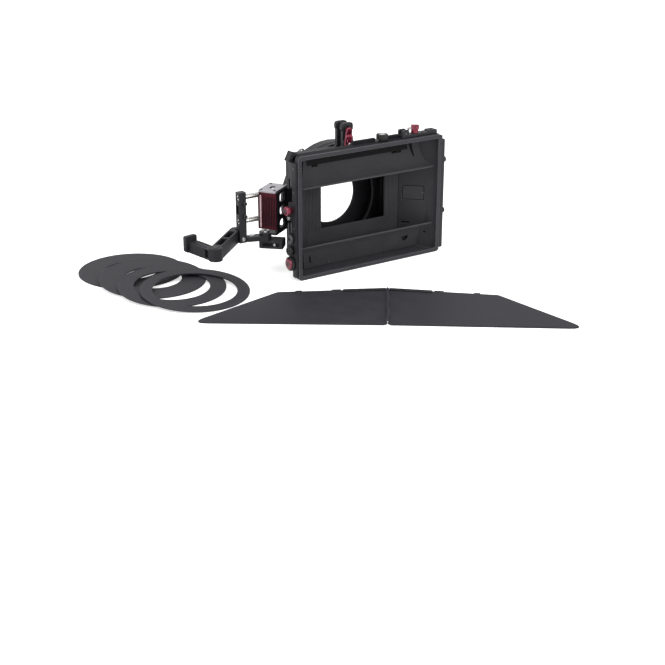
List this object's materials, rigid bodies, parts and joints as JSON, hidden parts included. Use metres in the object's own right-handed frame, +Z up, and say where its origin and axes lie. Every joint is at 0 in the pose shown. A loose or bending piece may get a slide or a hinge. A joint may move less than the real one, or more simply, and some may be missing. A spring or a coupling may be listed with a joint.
{
  "type": "matte box",
  "caption": "Matte box with hood and baffles, filter stages with trays, lens ring housing, swing-away bracket, folding flag and step-down rings.",
  "frame": {"origin": "middle of the flat foot under the hood's front rim", "axes": "+X across the box to the side without the bracket, +Y from the hood to the lens, +Z up"},
  "size_m": [0.4752, 0.552, 0.186],
  "materials": {
    "moulded_body": "moulded matte black nylon",
    "dark_inner": "flocked dead matte black",
    "black_anodised": "black anodised aluminium, satin",
    "grey_anodised": "grey anodised aluminium, satin",
    "red_anodised": "red anodised aluminium, bright satin",
    "polished_steel": "ground stainless steel",
    "flag_sheet": "thin stiff sheet with a fine matte grain",
    "ring_black": "turned and blackened, satin",
    "knob_rubber": "matte black rubber"
  },
  "bodies": {
    "box": {"hood_shell": "moulded_body", "picture_matte": "dark_inner", "upper_baffle": "dark_inner", "lower_baffle": "dark_inner", "front_stage": "black_anodised", "rear_stage": "black_anodised", "rear_plate": "black_anodised", "ring_housing": "black_anodised", "right_rail": "black_anodised", "left_rail": "black_anodised", "flag_bracket": "black_anodised", "corner_flag_holder": "black_anodised", "tray_lock_foot": "black_anodised", "hinge_top_plate": "grey_anodised", "hinge_base_plate": "black_anodised", "perforated_plate": "black_anodised", "red_face_plate": "red_anodised", "hinge_web": "black_anodised", "pivot_pin": "polished_steel"},
    "front_tray": {"front_tray": "black_anodised"},
    "rear_tray": {"rear_tray": "black_anodised"},
    "clamp_screw": {"ring_clamp_screw": "black_anodised"},
    "fitted_ring": {"fitted_ring": "ring_black"},
    "red_lock_knob": {"red_lock_knob": "red_anodised"},
    "silver_screw": {"silver_screw": "polished_steel"},
    "grey_lock_knob": {"grey_lock_knob": "grey_anodised"},
    "black_lock_knob": {"black_lock_knob": "knob_rubber"},
    "red_knurled_knob": {"red_knurled_knob": "red_anodised"},
    "clamp_lever": {"flag_clamp_lever": "red_anodised"},
    "thumb_knob": {"thumb_knob": "knob_rubber"},
    "lock_lever": {"tray_lock_lever": "red_anodised"},
    "swing_arm": {"swing_link": "black_anodised", "swing_lock_box": "black_anodised", "rod_post": "black_anodised", "lower_rod": "polished_steel", "upper_rod": "polished_steel", "bracket_arm": "black_anodised", "arm_hook": "black_anodised"},
    "lower_rod_screw": {"lower_rod_screw": "black_anodised"},
    "upper_rod_screw": {"upper_rod_screw": "black_anodised"},
    "flag_left": {"flag_left": "flag_sheet", "flag_bar_left": "black_anodised", "flag_hinge_pin": "polished_steel"},
    "flag_right": {"flag_right": "flag_sheet", "flag_bar_right": "black_anodised"},
    "ring_1": {"step_down_ring_1": "ring_black"},
    "ring_2": {"step_down_ring_2": "ring_black"},
    "ring_3": {"step_down_ring_3": "ring_black"},
    "ring_4": {"step_down_ring_4": "ring_black"}
  },
  "joints": [
    {"name": "front_tray_lift", "type": "slide", "parent": "box", "child": "front_tray", "axis": [0, 0, 1], "range_m": [0, 0.1]},
    {"name": "rear_tray_lift", "type": "slide", "parent": "box", "child": "rear_tray", "axis": [0, 0, 1], "range_m": [0, 0.1]},
    {"name": "clamp_screw_turn", "type": "hinge", "parent": "box", "child": "clamp_screw", "pos_m": [-0.0459, 0.0921, 0.14103], "axis": [-0.5736, 0, 0.8192], "continuous": true},
    {"name": "fitted_ring_out", "type": "slide", "parent": "box", "child": "fitted_ring", "axis": [0, 1, 0], "range_m": [0, 0.04]},
    {"name": "red_lock_knob_turn", "type": "hinge", "parent": "box", "child": "red_lock_knob", "pos_m": [-0.12, 0.004, 0.094], "axis": [1, 0, 0], "continuous": true},
    {"name": "silver_screw_turn", "type": "hinge", "parent": "box", "child": "silver_screw", "pos_m": [-0.12, 0.004, 0.0845], "axis": [1, 0, 0], "continuous": true},
    {"name": "grey_lock_knob_turn", "type": "hinge", "parent": "box", "child": "grey_lock_knob", "pos_m": [-0.12, 0.004, 0.0553], "axis": [1, 0, 0], "continuous": true},
    {"name": "black_lock_knob_turn", "type": "hinge", "parent": "box", "child": "black_lock_knob", "pos_m": [-0.12, 0.004, 0.0395], "axis": [1, 0, 0], "continuous": true},
    {"name": "red_knurled_knob_turn", "type": "hinge", "parent": "box", "child": "red_knurled_knob", "pos_m": [-0.12, 0.004, 0.022], "axis": [1, 0, 0], "continuous": true},
    {"name": "clamp_lever_turn", "type": "hinge", "parent": "box", "child": "clamp_lever", "pos_m": [0.077, 0.0025, 0.172], "axis": [0, 0, -1], "range_deg": [0, 90]},
    {"name": "thumb_knob_turn", "type": "hinge", "parent": "box", "child": "thumb_knob", "pos_m": [0.0234, 0.0025, 0.17], "axis": [0, 0, 1], "continuous": true},
    {"name": "lock_lever_turn", "type": "hinge", "parent": "box", "child": "lock_lever", "pos_m": [-0.005, 0.038, 0.158], "axis": [0, 1, 0], "range_deg": [0, 90]},
    {"name": "swing", "type": "hinge", "parent": "box", "child": "swing_arm", "pos_m": [-0.133, 0.045, 0.05], "axis": [0, 0, 1], "range_deg": [0, 90]},
    {"name": "lower_rod_screw_turn", "type": "hinge", "parent": "swing_arm", "child": "lower_rod_screw", "pos_m": [-0.1629, 0.045, 0.0829], "axis": [0, 1, 0], "continuous": true},
    {"name": "upper_rod_screw_turn", "type": "hinge", "parent": "swing_arm", "child": "upper_rod_screw", "pos_m": [-0.1629, 0.045, 0.1001], "axis": [0, 1, 0], "continuous": true},
    {"name": "flag_lift", "type": "slide", "parent": "box", "child": "flag_left", "axis": [0, 0, 1], "range_m": [0, 0.02]},
    {"name": "flag_fold", "type": "hinge", "parent": "flag_left", "child": "flag_right", "pos_m": [-0.0735, -0.1485, 0.0033], "axis": [-0.5864, -0.81, 0], "range_deg": [0, 178]},
    {"name": "ring_1_lift", "type": "slide", "parent": "box", "child": "ring_1", "axis": [0, 0, 1], "range_m": [0, 0.008]},
    {"name": "ring_2_lift", "type": "slide", "parent": "ring_1", "child": "ring_2", "axis": [0, 0, 1], "range_m": [0, 0.008]},
    {"name": "ring_3_lift", "type": "slide", "parent": "ring_2", "child": "ring_3", "axis": [0, 0, 1], "range_m": [0, 0.008]},
    {"name": "ring_4_lift", "type": "slide", "parent": "ring_3", "child": "ring_4", "axis": [0, 0, 1], "range_m": [0, 0.008]}
  ]
}
